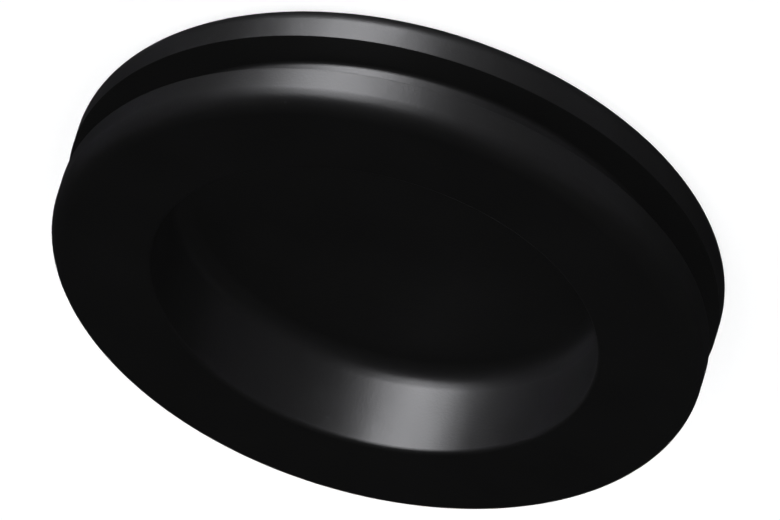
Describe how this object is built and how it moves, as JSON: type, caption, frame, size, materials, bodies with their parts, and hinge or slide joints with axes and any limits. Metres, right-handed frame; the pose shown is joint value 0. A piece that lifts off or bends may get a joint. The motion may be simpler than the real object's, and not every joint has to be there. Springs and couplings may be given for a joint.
{
  "type": "blind rubber grommet",
  "caption": "Closed round rubber grommet with a groove between its flanges that grips a sheet, and a deep recess whose floor closes the hole.",
  "frame": {"origin": "centre of the flat back face, which is the closed side", "axes": "+Z along the grommet's axis, out of the mouth of the recess; X and Y lie across it and are alike"},
  "size_m": [0.04, 0.04, 0.0075],
  "materials": {
    "rubber": "satin"
  },
  "bodies": {
    "root": {"grommet": "rubber"}
  },
  "joints": []
}
